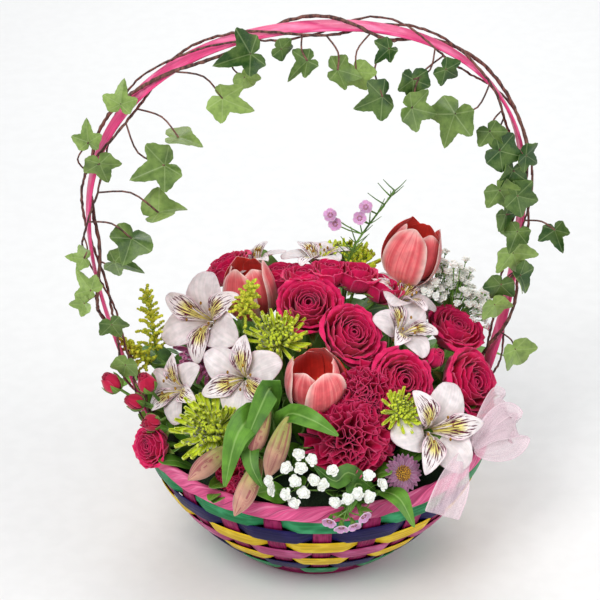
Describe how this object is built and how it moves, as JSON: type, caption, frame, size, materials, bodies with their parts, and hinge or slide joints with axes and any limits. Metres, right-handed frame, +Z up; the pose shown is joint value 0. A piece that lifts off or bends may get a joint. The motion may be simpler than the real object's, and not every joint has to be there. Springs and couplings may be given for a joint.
{
  "type": "flower basket arrangement",
  "caption": "Round woven basket with a tall fixed hoop handle wound with ivy, filled with mixed cut flowers in foam and a sheer ribbon bow.",
  "frame": {"origin": "centre of the basket's flat underside", "axes": "+X along the handle's plane to the right, +Y to the back, +Z up; the front of the arrangement faces -Y"},
  "size_m": [0.4178, 0.3388, 0.4899],
  "materials": {
    "stake_magenta": "dyed wood strip, satin",
    "weave_green": "dyed wood strip, satin",
    "weave_navy": "dyed wood strip, satin",
    "weave_yellow": "dyed wood strip, satin",
    "weave_pink": "dyed wood strip, satin",
    "rim_pink": "dyed wood strip, satin",
    "handle_pink": "dyed wood band, satin",
    "liner": "dark moulded plastic",
    "foam": "matte open-cell foam",
    "rose_petal": "velvety petal",
    "rosebud_red": "velvety petal",
    "carnation_petal": "matte petal",
    "tulip_petal": "waxy petal",
    "spider_mum_lime": "matte petal",
    "pompon_pink": "matte petal",
    "daisy_mauve": "matte petal",
    "alstroemeria_petal": "soft petal",
    "goldenrod_seed": "matte floret",
    "lily_bud": "waxy bud",
    "ribbon_organza": "sheer organza",
    "babys_breath": "matte floret",
    "waxflower": "waxy floret",
    "leaf_green": "satin leaf",
    "ivy": "leathery leaf"
  },
  "bodies": {
    "root": {"alstroemeria_back_pair": "alstroemeria_petal", "alstroemeria_front_right": "alstroemeria_petal", "alstroemeria_left": "alstroemeria_petal", "alstroemeria_right_pair": "alstroemeria_petal", "alstroemeria_side_left": "alstroemeria_petal", "alstroemeria_upper_left": "alstroemeria_petal", "babys_breath_back": "babys_breath", "babys_breath_front": "babys_breath", "basket_base_and_stakes": "stake_magenta", "carnation_dark_left": "carnation_petal", "carnation_front": "carnation_petal", "carnation_upper": "carnation_petal", "daisy_mauve_front": "daisy_mauve", "floral_foam": "foam", "goldenrod_centre": "goldenrod_seed", "goldenrod_left": "goldenrod_seed", "handle_band": "handle_pink", "ivy_left_high": "ivy", "ivy_left_low": "ivy", "ivy_left_middle": "ivy", "ivy_right_high": "ivy", "ivy_right_low": "ivy", "ivy_top_left": "ivy", "ivy_top_right": "ivy", "leaf_front": "leaf_green", "leaves_back": "leaf_green", "leaves_left": "leaf_green", "leaves_right": "leaf_green", "lily_buds": "lily_bud", "lily_leaves": "leaf_green", "liner_bowl": "liner", "pompon_pink_left": "pompon_pink", "ribbon_bow": "ribbon_organza", "rim_wrapped": "rim_pink", "rose_centre": "rose_petal", "rose_centre_back": "rose_petal", "rose_front_right": "rose_petal", "rose_left_rim": "rose_petal", "rose_right": "rose_petal", "rose_right_cup": "rose_petal", "rosebud_right": "rose_petal", "rosebuds_left": "rosebud_red", "roses_back_left": "rose_petal", "roses_back_spray": "rose_petal", "spider_mum_back": "spider_mum_lime", "spider_mum_centre": "spider_mum_lime", "spider_mum_half_open": "spider_mum_lime", "spider_mum_left": "spider_mum_lime", "tulip_centre": "tulip_petal", "tulip_left": "tulip_petal", "tulip_tall": "tulip_petal", "waxflower_front": "waxflower", "waxflower_top": "waxflower", "weaver_green_bottom": "weave_green", "weaver_green_top": "weave_green", "weaver_navy_lower": "weave_navy", "weaver_navy_upper": "weave_navy", "weaver_pink_middle": "weave_pink", "weaver_yellow_lower": "weave_yellow", "weaver_yellow_upper": "weave_yellow"}
  },
  "joints": []
}
